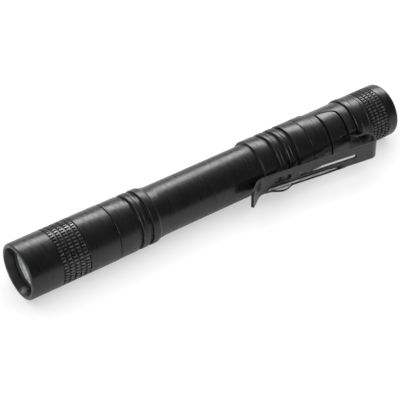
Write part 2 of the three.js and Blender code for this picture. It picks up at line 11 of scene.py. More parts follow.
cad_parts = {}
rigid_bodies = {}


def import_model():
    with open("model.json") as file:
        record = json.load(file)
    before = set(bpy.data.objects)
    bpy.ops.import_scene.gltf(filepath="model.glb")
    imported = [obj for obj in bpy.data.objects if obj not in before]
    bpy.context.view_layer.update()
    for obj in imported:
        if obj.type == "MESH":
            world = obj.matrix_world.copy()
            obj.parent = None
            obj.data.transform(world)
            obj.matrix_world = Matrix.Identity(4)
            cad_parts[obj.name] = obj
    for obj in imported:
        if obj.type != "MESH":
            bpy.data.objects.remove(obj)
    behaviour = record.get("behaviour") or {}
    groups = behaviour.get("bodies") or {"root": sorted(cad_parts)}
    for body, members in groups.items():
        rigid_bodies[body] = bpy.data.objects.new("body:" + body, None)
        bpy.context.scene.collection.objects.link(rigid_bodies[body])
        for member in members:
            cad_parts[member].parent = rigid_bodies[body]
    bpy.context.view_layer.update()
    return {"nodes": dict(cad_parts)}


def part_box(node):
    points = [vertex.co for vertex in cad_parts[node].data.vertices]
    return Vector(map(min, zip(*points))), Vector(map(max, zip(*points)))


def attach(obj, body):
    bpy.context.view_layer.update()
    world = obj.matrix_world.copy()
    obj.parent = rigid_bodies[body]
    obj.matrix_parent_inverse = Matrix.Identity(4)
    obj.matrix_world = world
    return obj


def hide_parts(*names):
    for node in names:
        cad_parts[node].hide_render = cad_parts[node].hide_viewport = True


bl_info = {
    "name": "Pocket flashlight",
    "version": (1, 0, 0),
    "blender": (4, 5, 0),
    "location": "3D View > Sidebar > Flashlight",
    "description": "Dresses the packed flashlight frame and sets its studio stage",
    "category": "Object",
}

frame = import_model()

# Stations and radii are in millimetres, counted from the middle of the front rim
MM = 0.001
HEAD_LOW, HEAD_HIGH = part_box("head_bezel")
FRONT = Vector((HEAD_LOW.x, (HEAD_LOW.y + HEAD_HIGH.y) / 2, (HEAD_LOW.z + HEAD_HIGH.z) / 2))

# Radii
HEAD_RADIUS = 8.5
SOCKET_RADIUS = 7.25
NECK_RADIUS = 7.0
BORE_RADIUS = 5.65
BAND_RADIUS = 8.4
GROOVE_RADIUS = 7.45
SHAFT_RADIUS = 7.6
SEAT_RADIUS = 8.05
SPIGOT_RADIUS = 6.75
COUNTERBORE_RADIUS = 7.0
CAP_RADIUS = 8.3
SLIP_RADIUS = 7.0
BUTTON_RADIUS = 4.5
BUTTON_OPENING = 4.75
BUTTON_CHAMBER = 5.95
BUTTON_FLANGE_RADIUS = 5.7

# Head stations
LIP_DEPTH = 2.6
LIP_MOUTH = 7.35
LIP_THROAT = 6.25
HEAD_KNURL_FRONT = 10.1
HEAD_KNURL_REAR = 18.8
HEAD_REAR = 28.8
LENS_SEAL = 3.2
LENS_FRONT = 3.8
LENS_REAR = 5.0
SLEEVE_FRONT = 3.7
SLEEVE_RADIUS = 7.2
SLEEVE_BORE = 7.05
CUP_FRONT = 5.2
CUP_FLANGE = 0.8
CUP_REAR = 12.1
CUP_MOUTH = 6.4
CUP_HOLE = 1.75
CUP_WALL = 0.6
CUP_BACK_RADIUS = 6.8
CUP_BACK_GAP = 0.2
LED_FRONT = 12.3
LED_BASE = 0.6
LED_HALF = 1.5
LED_DOME = 1.1
LED_BEVEL = 0.12

# Barrel stations
NECK_FRONT = 22.2
HEAD_THREAD_FRONT = 22.7
HEAD_THREAD_REAR = 26.7
HEAD_SEAL = 27.8
SHOULDER = 29.0
FRONT_RINGS = 35.3
RING_WIDTH = 2.4
GROOVE_WIDTH = 1.1
FLARE_FRONT = 39.9
FLARE_REAR = 42.0
FLARE_FOOT = 42.8
FLARE_FOOT_RADIUS = 7.95
SHAFT_FRONT = 45.3
COLLAR_FRONT = 79.2
COLLAR_REAR = 83.9
BARREL_REAR = 97.1
COUNTERBORE_FRONT = 90.1

# Tail stations
SPIGOT_FRONT = 90.3
TUBE_FRONT = 97.3
TUBE_BAND_REAR = 101.5
TUBE_REAR = 114.1
TAIL_SEAL = 115.3
TAIL_THREAD_FRONT = 116.3
TAIL_THREAD_REAR = 119.0
TAIL_NECK_REAR = 119.4
CAP_FRONT = 114.3
CAP_BEAD_REAR = 116.1
CAP_BEAD_FOOT = 116.5
CAP_LINE = 119.0
CAP_KNURL_FRONT = 120.1
CAP_KNURL_REAR = 126.1
CAP_SHOULDER = 122.5
CAP_WALL = 125.2
CAP_REAR = 130.0
BUTTON_FRONT = 123.9
BUTTON_SHOULDER = 125.0
BUTTON_SEAL = 127.6
BUTTON_REAR = 131.2

# Ring grooves in the button's end, by outer and inner radius
GRIP_GROOVES = ((3.1, 2.1), (1.5, 0.6))
GRIP_DEPTH = 0.25
GRIP_SLOPE = 0.2

# Seals and threads
SEAL_CORD = 0.8
SEAL_PROUD = 0.125
SEAL_ROOM = 0.1
THREAD_RIDGE = 0.19

# Knurl: shares of the pitch at which the low ring behind each row rises and falls, and of the tooth
RING_SHARES = (0.70, 0.74, 0.90, 0.94)
RING_DROP = 0.3
TOOTH_LENGTH = 0.74
TOOTH_TOP = 0.74
TOOTH_SUNK = 0.1

# Clip, in its side view: station and distance out from the axis
WING_FRONT = 104.6
WING_WIDTH = 5.7
WING_TIP = 1.2
WING_WRAP = 98
WING_TAPER = 22
RELIEF_WIDTH = 0.6
RELIEF_DEPTH = 2.4
RELIEF_CORNER = 0.3
POCKET_GAP = 0.7
POCKET_TIP_GAP = 0.2
POCKET_FLOOR = 7.05
WAY_STEP = 0.12
WAY_PAST = 0.4
LOOP_X = 114.6
LOOP_OUT = 11.7
LOOP_BORE = 2.0
LOOP_TURN = 188
JOG_FRONT = 111.0
JOG_REAR = 113.4
JOG_FRONT_BEND = 1.2
JOG_REAR_BEND = 0.6
KNEE_X = 108.3
KNEE_BEND = 8.0
ARM_OVER_COLLAR = 9.1
TIP_X = 76.4
TIP_REACH = 5.4
TIP_RISE = 4.0
TIP_BEND = 4.0
TIP_CORNER = 1.0
CURVE_FADE = 3.4
FLANGE_REAR = 106.0
FLANGE_FADE = 8.0
FLANGE_TIP_FADE = 1.6
LOBE_MIDDLE = 83.5
LOBE_LENGTH = 7.4
# Painted highlight on the clip: its width on the flange's top, the gap before the lobe, and its overlap
# past the fold
PAINTED_HIGHLIGHT_WIDTH = 0.5
PAINTED_HIGHLIGHT_GAP = 0.36
PAINTED_HIGHLIGHT_OVERLAP = 0.15

# Slots of the arm: front station, length, width and distance above its middle
SLOTS = ((81.1, 5.8, 1.9, 0.6), (89.7, 19.4, 1.45, 0.0))

# Spacing of the points on the clip's flat sheet
OUTLINE_STEP = 0.3
GRID_STEP = 0.36
GRID_ROW_GAP = 0.15
GRID_EDGE_GAP = 0.12

# Stage: lamp sizes and places in metres, the camera's place in millimetres
TOP_LIGHT = ((2.0, 2.0), (0.0, 0.0, 1.0))
GLEAM_LIGHT = ((1.7, 0.5), (0.35, 0.8, 0.83))
FILL_LIGHT = ((0.5, 0.5), (-0.95, -0.45, 0.35))
CAMERA_PLACE = (-150.72, -302.88, 309.50)
FLOOR_HALF = 4.0
FLOOR_DROP = 0.00005
WHITE = (1, 1, 1, 1)

# The room's light in reflections, by direction: from and to along the axis, and the levels there
WALL_BEHIND = (-0.35, 0.75, 0.06, 0.7)
WALL_BEFORE = (-0.25, -0.7, 0.0, 1.0)

BODY_SLOT = "anodised"
SEAL_SLOT = "seal"


# Settings


def length(name, about, size):
    return FloatProperty(name=name, description=about, default=size * MM, unit="LENGTH")


def angle(name, about, degrees):
    return FloatProperty(name=name, description=about, default=math.radians(degrees), unit="ROTATION")


def power(name, about, watts):
    return FloatProperty(name=name, description=about, default=watts, unit="POWER")


def fraction(name, about, value):
    return FloatProperty(name=name, description=about, default=value, min=0, max=1, subtype="FACTOR")


def count(name, about, value, least=1):
    return IntProperty(name=name, description=about, default=value, min=least)


def colour(name, value):
    return FloatVectorProperty(
        name=name, description=f"Colour of the {name.lower()}", subtype="COLOR", size=3, min=0, max=1,
        default=value)


class TurnedSizes(bpy.types.PropertyGroup):
    """Sizes of the turned, knurled body."""

    sides: count("Sides", "Facets round each turned piece", 144, 24)
    edge: length("Edge", "Rounding of turned corners", 0.25)
    line: length("Ring line", "Width of the fine line that splits a ring", 0.3)
    knurl_around: count("Knurls round", "Knurl teeth round the head and cap", 52)
    knurl_height: length("Knurl height", "Height of a knurl tooth", 0.4)
    knurl_share: fraction("Knurl share", "Share of the pitch that a tooth fills", 0.56)
    head_columns: count("Head columns", "Rows of teeth along the head band", 5)
    cap_columns: count("Cap columns", "Rows of teeth along the cap band", 4)
    thread_pitch: length("Thread pitch", "Pitch of the screw threads", 1.0)


class ClipSizes(bpy.types.PropertyGroup):
    """Sizes of the pocket clip."""

    sheet: length("Sheet", "Thickness of the steel", 0.8)
    width: length("Width", "Width of the arm", 5.8)
    flange: length("Flange", "Width of the lower edge that is turned out", 1.4)
    flange_bend: length("Flange bend", "Radius of the flange's fold at mid sheet", 0.52)
    flange_turn: angle("Flange turn", "How far the flange is turned out", 86)
    lobe: length("Lobe", "Reach of the thumb lobe", 1.2)
    edge: length("Edge", "Rounding of the cut edges", 0.14)


class Finishes(bpy.types.PropertyGroup):
    """Colours of the finishes."""

    anodised: colour("Anodised body", (0.0052, 0.0054, 0.0058))
    bare: colour("Bare worn edge", (0.16, 0.16, 0.165))
    clip: colour("Clip coating", (0.0062, 0.0064, 0.0068))
    painted_highlight: colour("Painted edge highlight", (0.50, 0.51, 0.52))
    # Light grey paint that stands in for the highlight along the clip's flange and on its lobe
    rubber: colour("Rubber", (0.011, 0.011, 0.0115))
    silver: colour("Reflector", (0.93, 0.95, 0.94))
    glass: colour("Window", (0.46, 0.53, 0.51))
    phosphor: colour("Phosphor", (0.86, 0.72, 0.18))
    ceramic: colour("Ceramic", (0.78, 0.77, 0.72))
    brass: colour("Brass", (0.52, 0.36, 0.13))
    circuit: colour("Circuit board", (0.02, 0.09, 0.04))
    plating: colour("Plated wire", (0.62, 0.56, 0.42))
    wrap: colour("Cell wrap", (0.30, 0.32, 0.34))
    floor: colour("Floor", (0.90, 0.90, 0.90))


class StageSettings(bpy.types.PropertyGroup):
    """Camera and studio light."""

    lens: FloatProperty(
        name="Lens", description="Focal length on a 36 mm sensor", default=148.75, unit="CAMERA")
    azimuth: angle("Azimuth", "Camera's turn about the object", -35.0)
    elevation: angle("Elevation", "Camera's height above the horizon", 40.26)
    top_power: power("Top light", "Power of the light overhead", 23.0)
    gleam_power: power("Gleam", "Power of the softbox behind, which the body mirrors", 26.0)
    fill_power: power("Lamp fill", "Power of the light before the lamp end", 4.0)
    ambient: fraction("Ambient", "Level of the room's soft light", 0.15)
    floor_glow: fraction("Floor glow", "Share of the floor that stays white in shadow", 0.5)
    floor_gloss: fraction("Floor in gloss", "Share of the floor that stays white where mirrored", 0.12)


# Places and meshes


def at(x, radius=0.0, degrees=0.0):
    """A point by station, distance from the axis and angle, counted from the top towards -Y."""
    a = math.radians(degrees)
    return FRONT + MM * Vector((x, -radius * math.sin(a), radius * math.cos(a)))


def rounded(corners, steps=5):
    """A path through 2D corners (x, y, rounding), with an arc at each rounded one."""
    points = []
    for i, (x, y, radius) in enumerate(corners):
        here = Vector((x, y))
        if radius <= 0:
            points.append(here)
            continue
        before = (Vector(corners[i - 1][:2]) - here).normalized()
        after = (Vector(corners[(i + 1) % len(corners)][:2]) - here).normalized()
        half = before.angle(after) / 2
        centre = here + (before + after).normalized() * (radius / math.sin(half))
        start = here + before * (radius / math.tan(half)) - centre
        end = here + after * (radius / math.tan(half)) - centre
        sweep = math.atan2(start.x * end.y - start.y * end.x, start.dot(end))
        for k in range(steps + 1):
            points.append(centre + Matrix.Rotation(sweep * k / steps, 2) @ start)
    return points


def linked(name, data):
    obj = bpy.data.objects.new(name, data)
    bpy.context.scene.collection.objects.link(obj)
    return obj


def shaped(name, bm, *materials):
    """Ends a bmesh as an object with these materials."""
    mesh = bpy.data.meshes.new(name)
    bm.to_mesh(mesh)
    bm.free()
    for material in materials:
        mesh.materials.append(material)
    return linked(name, mesh)


def shade(obj, degrees=32):
    obj.data.shade_smooth()
    obj.data.set_sharp_from_angle(angle=math.radians(degrees))
    return obj


def turned(name, corners, material):
    """Corners (station, radius, rounding) turned about the axis, the outer side listed front to back."""
    sides = bpy.context.scene.flashlight_turned.sides
    profile = rounded(corners)
    bm = bmesh.new()
    rings = []
    for x, radius in profile:
        around = sides if radius > 1e-6 else 1
        rings.append([bm.verts.new(at(x, radius, 360 * i / sides)) for i in range(around)])
    closes = profile[0].y > 1e-6
    for k in range(len(rings) if closes else len(rings) - 1):
        a, b = rings[k], rings[(k + 1) % len(rings)]
        for i in range(sides):
            j = (i + 1) % sides
            corner = [a[i % len(a)], a[j % len(a)], b[j % len(b)], b[i % len(b)]]
            bm.faces.new(list(dict.fromkeys(corner)))
    bmesh.ops.recalc_face_normals(bm, faces=bm.faces)
    return shade(shaped(name, bm, material))


def baked(obj, degrees=32):
    """Turns the object's modifiers into its plain mesh."""
    bpy.context.view_layer.update()
    evaluated = obj.evaluated_get(bpy.context.evaluated_depsgraph_get())
    mesh = bpy.data.meshes.new_from_object(evaluated)
    obj.modifiers.clear()
    obj.data = mesh
    mesh.name = obj.name
    return shade(obj, degrees)


def fit(obj, body, slot, *replaced):
    """Sets a finished piece on its body, in place of the CAD nodes it stands for."""
    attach(obj, body)
    if replaced:
        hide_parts(*replaced)


def seal_groove(x, radius):
    """Corners of the groove that holds an O-ring on a neck."""
    floor = radius + SEAL_PROUD - SEAL_CORD - SEAL_ROOM
    half = SEAL_CORD / 2 + SEAL_ROOM
    return [(x + side * half, r, 0.08) for side, r in ((-1, radius), (-1, floor), (1, floor), (1, radius))]


def fine_line(x, radius, half, depth, easing):
    """Corners of the narrow V that splits a ring."""
    return [(x - half, radius, easing), (x, radius - depth, 0.03), (x + half, radius, easing)]


def add_seal(context, name, x, radius, body, node):
    """Makes an O-ring, by its station and outer radius, and sets it on its body."""
    half = SEAL_CORD / 2
    turns = [math.tau * i / 16 for i in range(16)]
    section = [(x + half * math.sin(a), radius - half + half * math.cos(a), 0) for a in turns]
    fit(turned(name, section, rubber_material(context)), body, SEAL_SLOT, node)


# Finishes


class Nodes:
    """A node tree under construction."""

    def __init__(self, tree):
        self.tree = tree

    def feed(self, socket, value):
        if isinstance(value, bpy.types.NodeSocket):
            self.tree.links.new(value, socket)
        else:
            socket.default_value = value

    def set(self, node, **inputs):
        """Sets or links a node's inputs by name, with an underscore for each space."""
        for name, value in inputs.items():
            self.feed(node.inputs[name.replace("_", " ")], value)
        return node

    def node(self, kind, **inputs):
        return self.set(self.tree.nodes.new(kind), **inputs)

    def math(self, operation, *values):
        made = self.tree.nodes.new("ShaderNodeMath")
        made.operation = operation
        for socket, value in zip(made.inputs, values):
            self.feed(socket, value)
        return made.outputs[0]

    def ranged(self, value, low, high, to_low=0.0, to_high=1.0):
        made = self.node(
            "ShaderNodeMapRange", Value=value, From_Min=low, From_Max=high, To_Min=to_low, To_Max=to_high)
        return made.outputs["Result"]


class Finish(Nodes):
    """A material under construction: a Principled shader that reads Object coordinates."""

    def __init__(self, name):
        self.material = bpy.data.materials.new(name)
        self.material.use_nodes = True
        super().__init__(self.material.node_tree)
        self.coordinates = self.node("ShaderNodeTexCoord").outputs["Object"]

    def done(self, **inputs):
        self.set(self.tree.nodes["Principled BSDF"], **inputs)
        return self.material

    def noise(self, scale, detail=3.0, vector=None):
        source = self.coordinates if vector is None else vector
        return self.node("ShaderNodeTexNoise", Vector=source, Scale=scale, Detail=detail).outputs["Fac"]

    def drawn(self, stretch, detail):
        """A noise drawn out by its scale along each axis."""
        mapping = self.node("ShaderNodeMapping", Vector=self.coordinates, Scale=stretch)
        return self.noise(1.0, detail, mapping.outputs["Vector"])

    def span(self, noise, low, high):
        """A noise spread from one value to another."""
        return self.ranged(noise, 0.3, 0.7, low, high)

    def mix(self, factor, first, second):
        made = self.node("ShaderNodeMix")
        made.data_type = "RGBA"
        self.set(made, Factor=factor)
        colours = [s for s in made.inputs if s.type == "RGBA"]
        self.feed(colours[0], first)
        self.feed(colours[1], second)
        return next(s for s in made.outputs if s.type == "RGBA")

    def mottled(self, noise, value, low, high):
        """A colour that a noise moves between two levels."""
        return self.mix(self.span(noise, 0.0, 1.0), rgba(value, low), rgba(value, high))

    def bump(self, height, strength, depth, **under):
        """A bump of a depth in millimetres, over another bump if one is given."""
        made = self.node("ShaderNodeBump", Height=height, Strength=strength, Distance=depth * MM, **under)
        return made.outputs["Normal"]

    def worn(self, tone, bare):
        """The tone with the bare metal on its proud edges, broken up by noise."""
        pointed = self.node("ShaderNodeNewGeometry").outputs["Pointiness"]
        edge = self.ranged(pointed, 0.53, 0.62)
        mask = self.math("MULTIPLY", edge, self.span(self.noise(900.0), 0.0, 0.55))
        return self.mix(mask, tone, rgba(bare))


def rgba(value, level=1.0):
    return (value[0] * level, value[1] * level, value[2] * level, 1.0)


def anodised_finish(colours, name="anodised_black", gloss=0.4, rough=(0.23, 0.41)):
    """Black anodising: satin grain over turning lines, cloudy, thin on proud edges."""
    finish = Finish(name)
    tone = finish.mottled(finish.noise(260.0), colours.anodised, 0.8, 1.25)
    lines = finish.bump(finish.drawn((5200.0, 40.0, 40.0), 2.0), 0.10, 0.03)
    streaks = finish.drawn((1500.0, 130.0, 130.0), 4.0)
    return finish.done(
        Base_Color=finish.worn(tone, colours.bare), Specular_IOR_Level=gloss,
        Roughness=finish.span(streaks, *rough),
        Normal=finish.bump(finish.noise(5200.0, 2.0), 0.16, 0.03, Normal=lines))


def clip_finish(colours):
    """Black coated spring steel, drawn along the strip and worn on its edges."""
    finish = Finish("clip_black")
    streak = finish.drawn((160.0, 2600.0, 2600.0), 3.0)
    tone = finish.mottled(streak, colours.clip, 0.8, 1.3)
    return finish.done(
        Base_Color=finish.worn(tone, colours.bare), Roughness=finish.span(finish.noise(900.0), 0.26, 0.36),
        Normal=finish.bump(streak, 0.12, 0.03))


def painted_highlight_finish(colours):
    """Painted highlight: light grey paint in streaks on the flange's top and on the lobe, standing in for
    the bright edge highlight.
    """
    finish = Finish("clip_rubbed")
    streak = finish.drawn((300.0, 3800.0, 3800.0), 4.0)
    tone = finish.mix(finish.span(streak, 0.25, 1.0), rgba(colours.clip, 4.0), rgba(colours.painted_highlight))
    return finish.done(
        Base_Color=tone, Roughness=finish.span(streak, 0.32, 0.5), Normal=finish.bump(streak, 0.15, 0.03))


def glass_finish(colours):
    """Thin clear window that lets most light straight through and keeps a faint haze."""
    finish = Finish("window_glass")
    haze = finish.noise(500.0)
    return finish.done(
        Base_Color=finish.mottled(haze, colours.glass, 0.9, 1.0), Alpha=0.1, IOR=1.5,
        Specular_IOR_Level=1.0, Roughness=finish.span(haze, 0.02, 0.05))


def plain_finish(
        name, value, rough, tone=(600.0, 0.88, 1.08), haze=1200.0, skin=(2500.0, 3.0, 0.1, 0.04), **inputs):
    """A mottled tone (scale, low, high), a hazy roughness and a skin (scale, detail, strength, depth)."""
    finish = Finish(name)
    return finish.done(
        Base_Color=finish.mottled(finish.noise(tone[0]), value, *tone[1:]),
        Roughness=finish.span(finish.noise(haze), *rough),
        Normal=finish.bump(finish.noise(*skin[:2]), *skin[2:]), **inputs)


def cut_finish(colours):
    """The clip's sheared edges: the same coating, dull and torn across the sheet."""
    return plain_finish(
        "clip_cut", colours.clip, (0.55, 0.75), (2600.0, 0.7, 1.5), 2600.0, (2600.0, 3.0, 0.3, 0.04),
        Specular_IOR_Level=0.2)


def body_material(context):
    return bpy.data.materials.get("anodised_black") or anodised_finish(context.scene.flashlight_finishes)


def rubber_material(context):
    """Matt moulded rubber with a fine skin."""
    colours = context.scene.flashlight_finishes
    return bpy.data.materials.get("seal_rubber") or plain_finish(
        "seal_rubber", colours.rubber, (0.5, 0.65), (800.0, 0.7, 1.4), 1500.0, (6500.0, 3.0, 0.25, 0.04))


# Geometry Nodes: knurl teeth and screw threads


class ShapeNodes(Nodes):
    """A Geometry Nodes tree under construction, with named inputs for its sizes."""

    def __init__(self, name, **inputs):
        super().__init__(bpy.data.node_groups.new(name, "GeometryNodeTree"))
        sockets = self.tree.interface
        self.ids = {}
        for label, kind in {**inputs, "Material": "Material"}.items():
            socket = sockets.new_socket(name=label, in_out="INPUT", socket_type="NodeSocket" + kind)
            self.ids[label] = socket.identifier
        sockets.new_socket(name="Geometry", in_out="OUTPUT", socket_type="NodeSocketGeometry")
        self.given = self.tree.nodes.new("NodeGroupInput").outputs

    def made(self, kind, **inputs):
        """The result of a node with these inputs."""
        return self.node(kind, **inputs).outputs[0]

    def vector(self, x=0.0, y=0.0, z=0.0):
        return self.made("ShaderNodeCombineXYZ", X=x, Y=y, Z=z)

    def placed(self, shape, **inputs):
        return self.made("GeometryNodeTransform", Geometry=shape, **inputs)

    def close(self, shape):
        """Realizes the instances, gives them the material and ends the tree."""
        real = self.made("GeometryNodeRealizeInstances", Geometry=shape)
        finished = self.made("GeometryNodeSetMaterial", Geometry=real, Material=self.given["Material"])
        self.feed(self.node("NodeGroupOutput").inputs[0], finished)
        return self


def knurl_tree():
    """Rows of flat-topped teeth round the axis: a tooth's index gives its angle and column."""
    tree = ShapeNodes(
        "Knurl", Around="Int", Columns="Int", First="Float", Pitch="Float", Radius="Float", Tooth="Vector")
    given = tree.given
    around = given["Around"]
    index = tree.made("GeometryNodeInputIndex")
    column = tree.math("FLOOR", tree.math("DIVIDE", index, around))
    turn = tree.math("MULTIPLY", tree.math("DIVIDE", tree.math("MODULO", index, around), around), math.tau)
    x = tree.math("ADD", given["First"], tree.math("MULTIPLY", column, given["Pitch"]))
    teeth = tree.math("MULTIPLY", around, given["Columns"])
    points = tree.made("GeometryNodePoints", Count=teeth, Position=tree.vector(x))
    foot = math.sqrt(0.5)
    tooth = tree.made(
        "GeometryNodeMeshCone", Vertices=4, Side_Segments=1, Fill_Segments=1, Radius_Top=TOOTH_TOP * foot,
        Radius_Bottom=foot, Depth=1.0)
    square = tree.placed(tooth, Rotation=(0, 0, math.pi / 4))
    out = tree.placed(square, Scale=given["Tooth"], Translation=tree.vector(z=given["Radius"]))
    facing = tree.made("FunctionNodeEulerToRotation", Euler=tree.vector(turn))
    spread = tree.made("GeometryNodeInstanceOnPoints", Points=points, Instance=out, Rotation=facing)
    return tree.close(tree.placed(spread, Translation=FRONT))


def thread_tree():
    """A ridge that follows a spiral about the axis."""
    tree = ShapeNodes("Thread", Turns="Float", Radius="Float", Length="Float", First="Float", Ridge="Float")
    given = tree.given
    spiral = tree.made(
        "GeometryNodeCurveSpiral", Resolution=48, Rotations=given["Turns"], Start_Radius=given["Radius"],
        End_Radius=given["Radius"], Height=given["Length"])
    section = tree.made("GeometryNodeCurvePrimitiveCircle", Resolution=4, Radius=given["Ridge"])
    ridge = tree.made("GeometryNodeCurveToMesh", Curve=spiral, Profile_Curve=section, Fill_Caps=True)
    along = tree.placed(ridge, Rotation=(0, math.pi / 2, 0))
    start = tree.vector(tree.math("ADD", given["First"], FRONT.x), FRONT.y, FRONT.z)
    return tree.close(tree.placed(along, Translation=start))


def grown(name, tree, material, **inputs):
    """The tree's result as a plain mesh."""
    obj = shaped(name, bmesh.new())
    modifier = obj.modifiers.new(name, "NODES")
    modifier.node_group = tree.tree
    for label, value in {**inputs, "Material": material}.items():
        modifier[tree.ids[label]] = value
    return baked(obj)


def knurl(name, first, last, columns, top, sizes, material):
    pitch = (last - first) * MM / columns
    width = math.tau * top * MM / sizes.knurl_around * sizes.knurl_share
    height = sizes.knurl_height + TOOTH_SUNK * MM
    return grown(
        name, knurl_tree(), material, Around=sizes.knurl_around, Columns=columns,
        First=first * MM + pitch / 2, Pitch=pitch, Radius=top * MM - height,
        Tooth=(pitch * TOOTH_LENGTH, width, height))


def knurl_band(first, last, columns, top, sizes, chamfer, easing):
    """Corners of a knurl band's floor, with the low ring that joins each row's teeth."""
    pitch = (last - first) / columns
    height = sizes.knurl_height / MM
    floor, ring = top - height, top - RING_DROP * height
    corners = [(first - chamfer, top, easing), (first, floor, 0.03)]
    for i in range(columns):
        for share, radius, corner in zip(RING_SHARES, (floor, ring, ring, floor), (0.03, 0.05, 0.05, 0.03)):
            corners.append((first + (i + share) * pitch, radius, corner))
    return corners + [(last, floor, 0.02), (last + chamfer, top, easing)]


def add_thread(context, name, first, last):
    """Makes a neck's screw thread and sets it on the body."""
    length = (last - first) * MM
    turns = length / context.scene.flashlight_turned.thread_pitch
    ridge = grown(
        name, thread_tree(), body_material(context), Turns=turns, Radius=NECK_RADIUS * MM, Length=length,
        First=first * MM, Ridge=THREAD_RIDGE * MM)
    fit(ridge, "body", BODY_SLOT)


# Operators


class FLASHLIGHT_OT_stage(bpy.types.Operator):
    """Set the floor, the softboxes, the room's light and the camera"""

    bl_idname = "flashlight.stage"
    bl_label = "Stage"

    def execute(self, context):
        settings = context.scene.flashlight_stage
        context.scene.view_settings.view_transform = "Standard"
        self.floor(context, settings)
        self.room(context, settings)
        top = self.softbox("top_light", settings.top_power, *TOP_LIGHT)
        top.visible_glossy = False
        top.visible_transmission = False
        gleam = self.softbox("gleam", settings.gleam_power, *GLEAM_LIGHT)
        gleam.visible_diffuse = False
        self.softbox("lamp_fill", settings.fill_power, *FILL_LIGHT)
        self.camera(context, settings)
        return {"FINISHED"}

    def floor(self, context, settings):
        """White paint that takes the shadow and glows a little, so that the shadow stays pale."""
        bm = bmesh.new()
        bmesh.ops.create_grid(bm, x_segments=1, y_segments=1, size=FLOOR_HALF)
        finish = Finish("floor_white")
        paint = finish.tree.nodes["Principled BSDF"]
        finish.set(paint, Base_Color=rgba(context.scene.flashlight_finishes.floor), Roughness=0.7)
        glow = finish.node("ShaderNodeEmission", Color=WHITE)
        path = finish.node("ShaderNodeLightPath").outputs
        share = 0.0
        for ray, level in (
                ("Is Camera Ray", settings.floor_glow), ("Is Transmission Ray", settings.floor_glow),
                ("Is Glossy Ray", settings.floor_gloss)):
            share = finish.math("MULTIPLY_ADD", path[ray], level, share)
        mix = finish.node("ShaderNodeMixShader", Fac=share)
        finish.feed(mix.inputs[1], paint.outputs[0])
        finish.feed(mix.inputs[2], glow.outputs[0])
        finish.set(finish.tree.nodes["Material Output"], Surface=mix.outputs[0])
        floor = shaped("floor", bm, finish.material)
        floor.location.z = -FLOOR_DROP

    def room(self, context, settings):
        """White to the camera and through glass; in gloss dark before the body, light before the lamp."""
        world = bpy.data.worlds.new("studio")
        context.scene.world = world
        world.use_nodes = True
        nodes = Nodes(world.node_tree)
        toward = nodes.node("ShaderNodeTexCoord").outputs["Generated"]
        direction = nodes.node("ShaderNodeSeparateXYZ", Vector=toward).outputs
        behind = nodes.ranged(direction["Y"], *WALL_BEHIND)
        walls = nodes.math("MAXIMUM", behind, nodes.ranged(direction["X"], *WALL_BEFORE))
        path = nodes.node("ShaderNodeLightPath").outputs
        level = settings.ambient
        for ray, seen in (("Is Glossy Ray", walls), ("Is Transmission Ray", 1.0), ("Is Camera Ray", 1.0)):
            level = nodes.node("ShaderNodeMix", Factor=path[ray], A=level, B=seen).outputs["Result"]
        nodes.set(nodes.tree.nodes["Background"], Color=WHITE, Strength=level)

    def softbox(self, name, watts, size, place):
        """A rectangular lamp that faces the object."""
        light = bpy.data.lights.new(name, "AREA")
        light.shape = "RECTANGLE"
        light.size, light.size_y = size
        light.energy = watts
        lamp = linked(name, light)
        lamp.location = place
        lamp.rotation_euler = (-Vector(place)).to_track_quat("-Z", "Y").to_euler()
        return lamp

    def camera(self, context, settings):
        data = bpy.data.cameras.new("camera")
        data.lens = settings.lens
        data.sensor_width = 36
        data.clip_start = 0.01
        camera = linked("camera", data)
        camera.location = FRONT + MM * Vector(CAMERA_PLACE)
        camera.rotation_euler = (math.pi / 2 - settings.elevation, 0, settings.azimuth)
        context.scene.camera = camera


class FLASHLIGHT_OT_head(bpy.types.Operator):
    """Make the head shell with its tapered lip and knurl band"""

    bl_idname = "flashlight.head"
    bl_label = "Head"

    def execute(self, context):
        sizes = context.scene.flashlight_turned
        band = (HEAD_KNURL_FRONT, HEAD_KNURL_REAR, sizes.head_columns, HEAD_RADIUS, sizes)
        shell = turned("head_shell", [
            (0, LIP_MOUTH, 0.2), (0, HEAD_RADIUS, 0.6), *knurl_band(*band, 0.15, 0.08),
            (HEAD_REAR, HEAD_RADIUS, sizes.edge / MM), (HEAD_REAR, SOCKET_RADIUS, 0.1),
            (LIP_DEPTH, SOCKET_RADIUS, 0.05), (LIP_DEPTH, LIP_THROAT, 0.15),
        ], body_material(context))
        fit(shell, "head", BODY_SLOT, "head_bezel")
        # Handling has polished the teeth
        polished = anodised_finish(context.scene.flashlight_finishes, "anodised_teeth", 0.65, (0.16, 0.24))
        fit(knurl("head_knurl", *band, polished), "head", BODY_SLOT)
        return {"FINISHED"}


